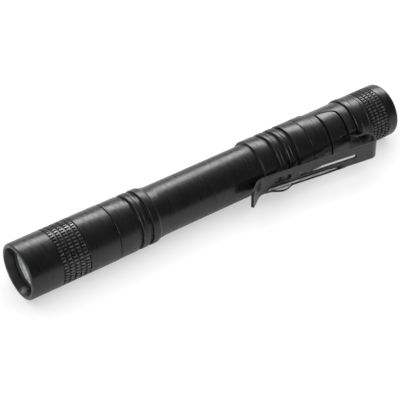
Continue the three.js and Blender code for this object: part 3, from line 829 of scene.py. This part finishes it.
class FLASHLIGHT_OT_lamp_end(bpy.types.Operator):
    """Make the seal, window, reflector and light source behind the lip"""

    bl_idname = "flashlight.lamp_end"
    bl_label = "Lamp end"

    def execute(self, context):
        colours = context.scene.flashlight_finishes
        add_seal(context, "lens_seal", LENS_SEAL, SLIP_RADIUS, "head_slider", "lens_o_ring")
        window = turned("window", [
            (LENS_FRONT, 0, 0), (LENS_FRONT, SLIP_RADIUS, 0.12), (LENS_REAR, SLIP_RADIUS, 0.12),
            (LENS_REAR, 0, 0),
        ], glass_finish(colours))
        fit(window, "head", "window", "lens")
        self.cup(colours)
        self.source(colours)
        return {"FINISHED"}

    def cup(self, colours):
        """The reflector: a parabola with a flange, and a thin sleeve round the window."""
        focal = (CUP_MOUTH ** 2 - CUP_HOLE ** 2) / (4 * (CUP_REAR - CUP_FRONT))
        steps = 28
        radii = [CUP_HOLE + (CUP_MOUTH - CUP_HOLE) * i / steps for i in range(steps + 1)]
        inside = [(CUP_REAR - (r ** 2 - CUP_HOLE ** 2) / (4 * focal), r, 0) for r in radii]
        flange = CUP_FRONT + CUP_FLANGE
        outside = [(x, r + CUP_WALL, 0) for x, r, _ in reversed(inside)]
        outside = [p for p in outside if p[0] > flange + CUP_BACK_GAP and p[1] < CUP_BACK_RADIUS]
        corners = [
            (SLEEVE_FRONT, SLEEVE_RADIUS, 0), (flange, SLEEVE_RADIUS, 0), (flange, outside[0][1], 0),
            *outside, *inside, (CUP_FRONT, SLEEVE_BORE, 0), (SLEEVE_FRONT, SLEEVE_BORE, 0),
        ]
        coating = plain_finish(
            "reflector_silver", colours.silver, (0.16, 0.3), (300.0, 0.93, 1.0), 900.0,
            (700.0, 1.0, 0.08, 0.05), Metallic=0.5)
        fit(turned("reflector_cup", corners, coating), "head", "reflector", "reflector")

    def source(self, colours):
        """The light source: a ceramic base with a bevelled edge, and a phosphor dome."""
        bm = bmesh.new()
        size = MM * Vector((LED_BASE, 2 * LED_HALF, 2 * LED_HALF))
        place = Matrix.LocRotScale(at(LED_FRONT + LED_BASE / 2), None, size)
        bmesh.ops.create_cube(bm, size=1.0, matrix=place)
        bmesh.ops.bevel(
            bm, geom=list(bm.edges), offset=LED_BEVEL * MM, segments=2, affect="EDGES", profile=0.5)
        place = Matrix.Translation(at(LED_FRONT))
        dome = bmesh.ops.create_uvsphere(
            bm, u_segments=32, v_segments=16, radius=LED_DOME * MM, matrix=place)
        for vert in dome["verts"]:
            for face in vert.link_faces:
                face.material_index = 1
        base = plain_finish("ceramic_white", colours.ceramic, (0.35, 0.5))
        glow = plain_finish("phosphor_yellow", colours.phosphor, (0.12, 0.2), skin=(1800.0, 3.0, 0.1, 0.04))
        fit(shade(shaped("light_source", bm, base, glow)), "head", "emitter", "led_emitter")


class FLASHLIGHT_OT_barrel(bpy.types.Operator):
    """Make the barrel with its rings, collars, neck thread and seal"""

    bl_idname = "flashlight.barrel"
    bl_label = "Barrel"

    def execute(self, context):
        sizes = context.scene.flashlight_turned
        edge = sizes.edge / MM
        corners = [
            (NECK_FRONT, BORE_RADIUS, 0.1), (NECK_FRONT, NECK_RADIUS, 0.2),
            *seal_groove(HEAD_SEAL, NECK_RADIUS), (SHOULDER, NECK_RADIUS, 0.1),
            (SHOULDER, BAND_RADIUS, edge), (FRONT_RINGS, BAND_RADIUS, edge),
            *self.rings(FRONT_RINGS, 1, sizes),
            (FLARE_FRONT, BAND_RADIUS, edge), (FLARE_REAR, BAND_RADIUS, 0.5),
            (FLARE_FOOT, FLARE_FOOT_RADIUS, 0.5), (SHAFT_FRONT, SHAFT_RADIUS, 5.0),
            (COLLAR_FRONT, SHAFT_RADIUS, 0.12), (COLLAR_FRONT, BAND_RADIUS, edge),
            (COLLAR_REAR, BAND_RADIUS, edge), *self.rings(COLLAR_REAR, 2, sizes),
            (COLLAR_REAR + 2 * RING_WIDTH + 3 * GROOVE_WIDTH, BAND_RADIUS, edge),
            (BARREL_REAR, BAND_RADIUS, 0.15), (BARREL_REAR, COUNTERBORE_RADIUS, 0.1),
            (COUNTERBORE_FRONT, COUNTERBORE_RADIUS, 0.1), (COUNTERBORE_FRONT, BORE_RADIUS, 0.1),
        ]
        tube = turned("barrel_tube", corners, body_material(context))
        fit(tube, "body", BODY_SLOT, "barrel")
        add_thread(context, "head_thread", HEAD_THREAD_FRONT, HEAD_THREAD_REAR)
        add_seal(context, "neck_seal", HEAD_SEAL, NECK_RADIUS + SEAL_PROUD, "body", "head_o_ring")
        return {"FINISHED"}

    def rings(self, x, number, sizes):
        """Rings between grooves, each split in two by a fine line."""
        easing, half = 2 * sizes.edge / MM, sizes.line / MM / 2
        corners = self.groove(x)
        for i in range(number):
            front = x + GROOVE_WIDTH + i * (GROOVE_WIDTH + RING_WIDTH)
            rear = front + RING_WIDTH
            split = fine_line(front + RING_WIDTH / 2, BAND_RADIUS, half, 1.3 * half, 0.06)
            corners += [(front, BAND_RADIUS, easing), *split, (rear, BAND_RADIUS, easing)]
            corners += self.groove(rear)
        return corners

    def groove(self, x):
        return [(x, GROOVE_RADIUS, 0.2), (x + GROOVE_WIDTH, GROOVE_RADIUS, 0.2)]


def curved_plate(name, degrees, inner, outer, front, rear_edge):
    """A shell on the body's curve; the angle from the clip sets its rear edge."""
    bm = bmesh.new()
    rows = []
    for turn in degrees:
        rear = rear_edge(turn)
        spots = ((front, inner), (rear, inner), (rear, outer), (front, outer))
        rows.append([bm.verts.new(at(x, r, 90 + turn)) for x, r in spots])
    for a, b in zip(rows, rows[1:]):
        for j in range(4):
            k = (j + 1) % 4
            bm.faces.new((a[j], a[k], b[k], b[j]))
    bm.faces.new(rows[0])
    bm.faces.new(rows[-1])
    bmesh.ops.recalc_face_normals(bm, faces=bm.faces)
    return shaped(name, bm)


def taper_edge(turn, wrap=WING_WRAP):
    """Rear station of a wing at an angle from the clip: straight, then in to the tip."""
    share = max(0.0, (abs(turn) - wrap + WING_TAPER) / WING_TAPER)
    return WING_FRONT + WING_WIDTH - (WING_WIDTH - WING_TIP) * share ** 3


def fan(limit, steps):
    return [-limit + 2 * limit * i / steps for i in range(steps + 1)]


class FLASHLIGHT_OT_tail_tube(bpy.types.Operator):
    """Make the tail tube with the pocket that the clip's wings sit in"""

    bl_idname = "flashlight.tail_tube"
    bl_label = "Tail tube"

    def execute(self, context):
        tube = turned("tail_sleeve", [
            (SPIGOT_FRONT, BORE_RADIUS, 0.1), (SPIGOT_FRONT, SPIGOT_RADIUS, 0.2),
            (TUBE_FRONT, SPIGOT_RADIUS, 0.1), (TUBE_FRONT, BAND_RADIUS, 0.15),
            (TUBE_BAND_REAR, BAND_RADIUS, 0.2), (TUBE_BAND_REAR, SEAT_RADIUS, 0.08),
            (TUBE_REAR, SEAT_RADIUS, 0.2), (TUBE_REAR, NECK_RADIUS, 0.1),
            *seal_groove(TAIL_SEAL, NECK_RADIUS),
            (TAIL_NECK_REAR, NECK_RADIUS, 0.2), (TAIL_NECK_REAR, BORE_RADIUS, 0.1),
        ], body_material(context))
        self.cut(tube, self.pocket(context))
        fit(tube, "body", BODY_SLOT, "tail_tube")
        add_thread(context, "tail_thread", TAIL_THREAD_FRONT, TAIL_THREAD_REAR)
        add_seal(context, "tail_seal", TAIL_SEAL, NECK_RADIUS + SEAL_PROUD, "body", "tail_o_ring")
        return {"FINISHED"}

    def pocket(self, context):
        """Two cutters: the wings' bed, and the way out behind under the strip."""
        wrap = WING_WRAP + math.degrees(POCKET_TIP_GAP / SEAT_RADIUS)
        half = context.scene.flashlight_clip.width / MM / 2
        way_out = math.degrees(math.asin(half / SEAT_RADIUS) + POCKET_GAP / SEAT_RADIUS)
        bed = curved_plate(
            "wing_bed", fan(wrap, 102), POCKET_FLOOR, HEAD_RADIUS, WING_FRONT - POCKET_GAP,
            lambda turn: taper_edge(turn, wrap) + POCKET_GAP)
        way = curved_plate(
            "strip_way", fan(way_out, 25), POCKET_FLOOR + WAY_STEP, HEAD_RADIUS + WAY_STEP,
            WING_FRONT + WING_WIDTH, lambda turn: TUBE_REAR + WAY_PAST)
        return bed, way

    def cut(self, tube, cutters):
        for cutter in cutters:
            modifier = tube.modifiers.new(cutter.name, "BOOLEAN")
            modifier.operation = "DIFFERENCE"
            modifier.solver = "EXACT"
            modifier.object = cutter
        baked(tube)
        for cutter in cutters:
            bpy.data.meshes.remove(cutter.data)


class StripPath:
    """The clip's side view as a path with its length measured along it."""

    def __init__(self, points):
        self.points = points
        self.lengths = [0.0]
        for a, b in zip(points, points[1:]):
            self.lengths.append(self.lengths[-1] + (b - a).length)
        self.total = self.lengths[-1]

    def normal(self, k):
        """The normal at a point, which starts out from the axis."""
        low, high = max(k - 1, 0), min(k + 1, len(self.points) - 1)
        d = (self.points[high] - self.points[low]).normalized()
        return Vector((-d.y, d.x))

    def place(self, s):
        """The point at a length along the path, and the normal there."""
        last = len(self.points) - 2
        i = next((k for k in range(last) if s <= self.lengths[k + 1]), last)
        a, b = self.points[i], self.points[i + 1]
        share = (s - self.lengths[i]) / (self.lengths[i + 1] - self.lengths[i])
        return a + (b - a) * share, self.normal(i).lerp(self.normal(i + 1), share).normalized()

    def length_at(self, x):
        """Length along the path to a station on the arm."""
        for i in range(len(self.points) - 2, 0, -1):
            a, b = self.points[i], self.points[i + 1]
            if min(a.x, b.x) <= x <= max(a.x, b.x):
                return self.lengths[i] + (b - a).length * (x - a.x) / (b.x - a.x)
        raise ValueError(f"the arm doesn't reach station {x}")


class FLASHLIGHT_OT_clip(bpy.types.Operator):
    """Cut the clip from a flat sheet, with its slots, flange and lobe, and bend it to shape"""

    bl_idname = "flashlight.clip"
    bl_label = "Pocket clip"

    def execute(self, context):
        sizes = context.scene.flashlight_clip
        self.sheet = sizes.sheet / MM
        self.half = sizes.width / MM / 2
        self.fold = -self.half + sizes.flange / MM
        self.fold_bend = sizes.flange_bend / MM
        self.fold_turn = sizes.flange_turn
        self.lobe = sizes.lobe / MM
        self.wing_mid = SEAT_RADIUS - self.sheet / 2
        self.path = self.side_view()
        self.flange_start = self.path.length_at(FLANGE_REAR)
        self.flange_end = self.path.length_at(TIP_X + TIP_BEND / 2)
        colours = context.scene.flashlight_finishes
        # The third finish is the painted highlight for the flange and lobe
        finishes = [finish(colours) for finish in (clip_finish, cut_finish, painted_highlight_finish)]
        clip = self.bent(self.flat_pattern(), finishes)
        bevel = clip.modifiers.new("edge", "BEVEL")
        bevel.width = sizes.edge
        bevel.segments = 2
        bevel.material = 0
        bevel.limit_method = "ANGLE"
        bevel.angle_limit = math.radians(55)
        fit(baked(clip, 38), "body", "clip_steel", "pocket_clip")
        return {"FINISHED"}

    def side_view(self):
        """Base under the wings, jog over the cap's bead, loop, and the arm down to the flared tip."""
        radius = LOOP_BORE + self.sheet / 2
        turn = math.radians(LOOP_TURN - 180)
        steps = 40
        turns = [-math.pi / 2 + (math.pi + turn) * i / steps for i in range(steps + 1)]
        loop = [(LOOP_X + radius * math.cos(a), LOOP_OUT + radius * math.sin(a), 0) for a in turns]
        leave_x, leave_out, _ = loop[-1]
        knee_out = leave_out - (leave_x - KNEE_X) * math.tan(turn)
        tip_out = knee_out + (ARM_OVER_COLLAR - knee_out) * (TIP_X - KNEE_X) / (COLLAR_FRONT - KNEE_X)
        corners = [
            (WING_FRONT, self.wing_mid, 0), (JOG_FRONT, self.wing_mid, JOG_FRONT_BEND),
            (JOG_REAR, LOOP_OUT - radius, JOG_REAR_BEND), *loop, (KNEE_X, knee_out, KNEE_BEND),
            (TIP_X, tip_out, TIP_BEND), (TIP_X - TIP_REACH, tip_out + TIP_RISE, 0),
        ]
        return StripPath(rounded(corners, 12))

    def flat_pattern(self):
        """Outline and holes of the flat sheet, by length along the path and width."""
        half, end = self.half, self.path.total
        upper = [(0.0, self.wing_mid * math.radians(WING_WRAP))]
        steps = 20
        for i in range(steps + 1):
            turn = WING_WRAP - WING_TAPER * i / steps
            upper.append((taper_edge(turn) - WING_FRONT, self.wing_mid * math.radians(turn)))
        notch, outer = WING_WIDTH - RELIEF_DEPTH, half + RELIEF_WIDTH
        upper += [
            (WING_WIDTH, outer), (notch + RELIEF_CORNER, outer), (notch, outer - RELIEF_CORNER),
            (notch, half)]
        lower = [(s, -w) for s, w in upper]
        strip = [(0, half, 0), (end, half, TIP_CORNER), (end, -half, TIP_CORNER), (0, -half, 0)]
        tip = [tuple(p) for p in rounded(strip, 6)[1:-1]]
        centre = self.path.length_at(LOBE_MIDDLE)
        lobe = [
            (centre + share * LOBE_LENGTH / 2, -half - self.lobe * (1 - share ** 2) ** 1.5)
            for share in reversed(fan(1, 24))]
        outline = upper + tip + lobe + lower[::-1]
        return [self.dense(loop) for loop in (outline[::-1], *(self.slot(*slot) for slot in SLOTS))]

    def slot(self, front, length, width, up):
        """A round-ended hole, by stations on the arm."""
        near, far = sorted((self.path.length_at(front), self.path.length_at(front + length)))
        radius = width / 2
        ends = []
        for middle, first in ((far - radius, -90), (near + radius, 90)):
            for i in range(13):
                a = math.radians(first + 180 * i / 12)
                ends.append((middle + radius * math.cos(a), up + radius * math.sin(a)))
        return ends

    def dense(self, loop):
        points = []
        for a, b in zip(loop, loop[1:] + loop[:1]):
            number = max(1, math.ceil(math.dist(a, b) / OUTLINE_STEP))
            points += [Vector(a).lerp(Vector(b), i / number) for i in range(number)]
        return points

    def inner_points(self, edges):
        """A grid clear of the edges, with closer lines across the flange's fold."""
        tree = kdtree.KDTree(len(edges))
        for i, point in enumerate(edges):
            tree.insert(point.to_3d(), i)
        tree.balance()
        folded = self.fold_bend * self.fold_turn
        fold = [self.fold + 0.05, *(self.fold - folded * i / 5 for i in range(6))]
        rows = int(self.wing_mid * math.radians(WING_WRAP) / GRID_STEP)
        grid = [i * GRID_STEP for i in range(-rows, rows + 1)]
        widths = fold + [g for g in grid if min(abs(g - w) for w in fold) > GRID_ROW_GAP]
        points = []
        for i in range(int(self.path.total / GRID_STEP) + 1):
            for w in widths:
                point = Vector((i * GRID_STEP, w))
                if tree.find(point.to_3d())[2] > GRID_EDGE_GAP:
                    points.append(point)
        return points

    def turned_out(self, s, w):
        """Where the flange takes the sheet, down and out, and the fold's angle there."""
        along = min(1.0, max(0.0, (s - self.flange_start) / FLANGE_FADE))
        before_tip = min(1.0, max(0.0, (self.flange_end - s) / FLANGE_TIP_FADE))
        full = self.fold_turn * along * before_tip
        past = self.fold - w
        if past <= 0 or full < 1e-4:
            return w, 0.0, 0.0
        turn = min(past / self.fold_bend, full)
        rest = past - turn * self.fold_bend
        down = self.fold_bend * math.sin(turn) + rest * math.cos(turn)
        out = self.fold_bend * (1 - math.cos(turn)) + rest * math.sin(turn)
        return self.fold - down, out, turn

    def painted_highlight_on(self, place):
        """Whether the painted highlight goes there: on the flange's top or out on the lobe."""
        share = self.turned_out(place.x, place.y)[2] / self.fold_turn
        past = self.fold - place.y - self.fold_bend * self.fold_turn
        on_flange = -PAINTED_HIGHLIGHT_OVERLAP < past < PAINTED_HIGHLIGHT_WIDTH * (2 * share - 1)
        on_lobe = past > PAINTED_HIGHLIGHT_WIDTH + PAINTED_HIGHLIGHT_GAP
        return share > 0.5 and (on_flange or on_lobe)

    def bend(self, s, w, t):
        """A point of the flat sheet, at depth t, on the bent clip."""
        if s < WING_WIDTH + 0.01 and abs(w) > self.half + RELIEF_WIDTH / 2:
            return at(WING_FRONT + s, self.wing_mid + t, 90 - math.degrees(w / self.wing_mid))
        point, normal = self.path.place(s)
        curve = max(0.0, 1 - max(0.0, s - (JOG_FRONT - WING_FRONT)) / CURVE_FADE) / self.wing_mid
        if curve > 1e-6:
            radius = 1 / curve
            z = (radius + t) * math.sin(w * curve)
            depth = (radius + t) * math.cos(w * curve) - radius
        else:
            z, out, turn = self.turned_out(s, w)
            z -= t * math.sin(turn)
            depth = t * math.cos(turn) - out
        place = point + normal * depth
        return FRONT + MM * Vector((place.x, -place.y, z))

    def bent(self, loops, finishes):
        """Both faces of the sheet and the walls between them, bent to shape."""
        points, regions = [], []
        for loop in loops:
            regions.append(list(range(len(points), len(points) + len(loop))))
            points += loop
        points += self.inner_points(points)
        flat, _, faces, _, _, owners = geometry.delaunay_2d_cdt(points, [], regions, 1, 1e-5)
        faces = [face for face, owner in zip(faces, owners) if owner == [0]]
        bm = bmesh.new()
        top, under = (
            [bm.verts.new(self.bend(p.x, p.y, t)) for p in flat] for t in (self.sheet / 2, -self.sheet / 2))
        edges = {}
        for face in faces:
            bm.faces.new([top[i] for i in face])
            outer = bm.faces.new([under[i] for i in reversed(face)])
            # Faces on the flange's top and on the lobe take the painted highlight
            if self.painted_highlight_on(sum((flat[i] for i in face), Vector((0.0, 0.0))) / len(face)):
                outer.material_index = 2
            edges.update(dict.fromkeys(zip(face, face[1:] + face[:1])))
        for a, b in edges:
            if (b, a) not in edges:
                wall = bm.faces.new((top[b], top[a], under[a], under[b]))
                wall.material_index = 1
        loose = [v for v in bm.verts if not v.link_faces]
        bmesh.ops.delete(bm, geom=loose, context="VERTS")
        bmesh.ops.recalc_face_normals(bm, faces=bm.faces)
        return shaped("clip_strip", bm, *finishes)


class FLASHLIGHT_OT_tail_cap(bpy.types.Operator):
    """Make the knurled tail cap"""

    bl_idname = "flashlight.tail_cap"
    bl_label = "Tail cap"

    def execute(self, context):
        sizes = context.scene.flashlight_turned
        half = sizes.line / MM / 2
        band = (CAP_KNURL_FRONT, CAP_KNURL_REAR, sizes.cap_columns, CAP_RADIUS, sizes)
        shell = turned("cap_shell", [
            (CAP_FRONT, SOCKET_RADIUS, 0.1), (CAP_FRONT, HEAD_RADIUS, 0.35),
            (CAP_BEAD_REAR, HEAD_RADIUS, 0.3), (CAP_BEAD_FOOT, CAP_RADIUS, 0.3),
            *fine_line(CAP_LINE, CAP_RADIUS, half, half, 0.05), *knurl_band(*band, 0.12, 0.06),
            (CAP_REAR, CAP_RADIUS, 1.0), (CAP_REAR, BUTTON_OPENING, sizes.edge / MM),
            (CAP_WALL, BUTTON_OPENING, 0.1), (CAP_WALL, BUTTON_CHAMBER, 0.1),
            (CAP_SHOULDER, BUTTON_CHAMBER, 0.1), (CAP_SHOULDER, SOCKET_RADIUS, 0.1),
        ], body_material(context))
        fit(shell, "cap", BODY_SLOT, "tail_cap")
        fit(knurl("cap_knurl", *band, body_material(context)), "cap", BODY_SLOT)
        return {"FINISHED"}


class FLASHLIGHT_OT_button(bpy.types.Operator):
    """Make the rubber push button and its seal"""

    bl_idname = "flashlight.button"
    bl_label = "Push button"

    def execute(self, context):
        grip = []
        floor = BUTTON_REAR - GRIP_DEPTH
        for outer, inner in GRIP_GROOVES:
            grip += [
                (BUTTON_REAR, outer, 0.12), (floor, outer - GRIP_SLOPE, 0.1),
                (floor, inner + GRIP_SLOPE, 0.1), (BUTTON_REAR, inner, 0.12)]
        button = turned("push_button", [
            (BUTTON_FRONT, 0, 0), (BUTTON_FRONT, BUTTON_FLANGE_RADIUS, 0.15),
            (BUTTON_SHOULDER, BUTTON_FLANGE_RADIUS, 0.15), (BUTTON_SHOULDER, BUTTON_RADIUS, 0.1),
            *seal_groove(BUTTON_SEAL, BUTTON_RADIUS),
            (BUTTON_REAR, BUTTON_RADIUS, 0.85), *grip, (BUTTON_REAR, 0, 0),
        ], rubber_material(context))
        fit(button, "button", "button", "tail_button")
        radius = BUTTON_RADIUS + SEAL_PROUD
        add_seal(context, "button_seal", BUTTON_SEAL, radius, "button", "button_o_ring")
        return {"FINISHED"}


class FLASHLIGHT_OT_inner_pieces(bpy.types.Operator):
    """Finish the cells, boards, springs and switch pieces inside"""

    bl_idname = "flashlight.inner_pieces"
    bl_label = "Inner pieces"

    def execute(self, context):
        colours = context.scene.flashlight_finishes
        springs = ("positive_spring", "negative_spring", "switch_spring")
        for name, value, rough, metallic, pieces in (
                ("turned_brass", colours.brass, (0.25, 0.38), 1.0, ("led_pill", "retaining_ring")),
                ("circuit_green", colours.circuit, (0.3, 0.45), 0.0, ("driver_board", "switch_contact")),
                ("plated_wire", colours.plating, (0.2, 0.3), 1.0, springs),
                ("cell_wrap", colours.wrap, (0.25, 0.35), 0.3, ("battery_front", "battery_rear")),
                ("board_white", colours.ceramic, (0.4, 0.55), 0.0, ("led_board", "switch_plunger")),
                ("moulded_black", colours.rubber, (0.4, 0.55), 0.0, ("switch_housing",))):
            material = plain_finish(name, value, rough, Metallic=metallic)
            for piece in pieces:
                frame["nodes"][piece].material_slots[0].material = material
        return {"FINISHED"}


class FLASHLIGHT_PT_panel(bpy.types.Panel):
    """Lists the steps that dress the flashlight"""

    bl_idname = "FLASHLIGHT_PT_panel"
    bl_label = "Pocket flashlight"
    bl_space_type = "VIEW_3D"
    bl_region_type = "UI"
    bl_category = "Flashlight"

    def draw(self, context):
        for operator in OPERATORS:
            self.layout.operator(operator.bl_idname)
        for name in GROUPS:
            box = self.layout.box()
            settings = getattr(context.scene, name)
            for prop in settings.bl_rna.properties:
                if prop.identifier not in {"rna_type", "name"}:
                    box.prop(settings, prop.identifier)


GROUPS = {
    "flashlight_turned": TurnedSizes,
    "flashlight_clip": ClipSizes,
    "flashlight_finishes": Finishes,
    "flashlight_stage": StageSettings,
}
OPERATORS = (
    FLASHLIGHT_OT_stage,
    FLASHLIGHT_OT_head,
    FLASHLIGHT_OT_lamp_end,
    FLASHLIGHT_OT_barrel,
    FLASHLIGHT_OT_tail_tube,
    FLASHLIGHT_OT_clip,
    FLASHLIGHT_OT_tail_cap,
    FLASHLIGHT_OT_button,
    FLASHLIGHT_OT_inner_pieces,
)


def register():
    for cls in (*GROUPS.values(), *OPERATORS, FLASHLIGHT_PT_panel):
        bpy.utils.register_class(cls)
    for name, group in GROUPS.items():
        setattr(bpy.types.Scene, name, PointerProperty(type=group))


def unregister():
    for name in GROUPS:
        delattr(bpy.types.Scene, name)
    for cls in reversed((*GROUPS.values(), *OPERATORS, FLASHLIGHT_PT_panel)):
        bpy.utils.unregister_class(cls)


def main():
    register()
    bpy.ops.flashlight.stage()
    bpy.ops.flashlight.head()
    bpy.ops.flashlight.lamp_end()
    bpy.ops.flashlight.barrel()
    bpy.ops.flashlight.tail_tube()
    bpy.ops.flashlight.clip()
    bpy.ops.flashlight.tail_cap()
    bpy.ops.flashlight.button()
    bpy.ops.flashlight.inner_pieces()


if __name__ == "__main__":
    main()
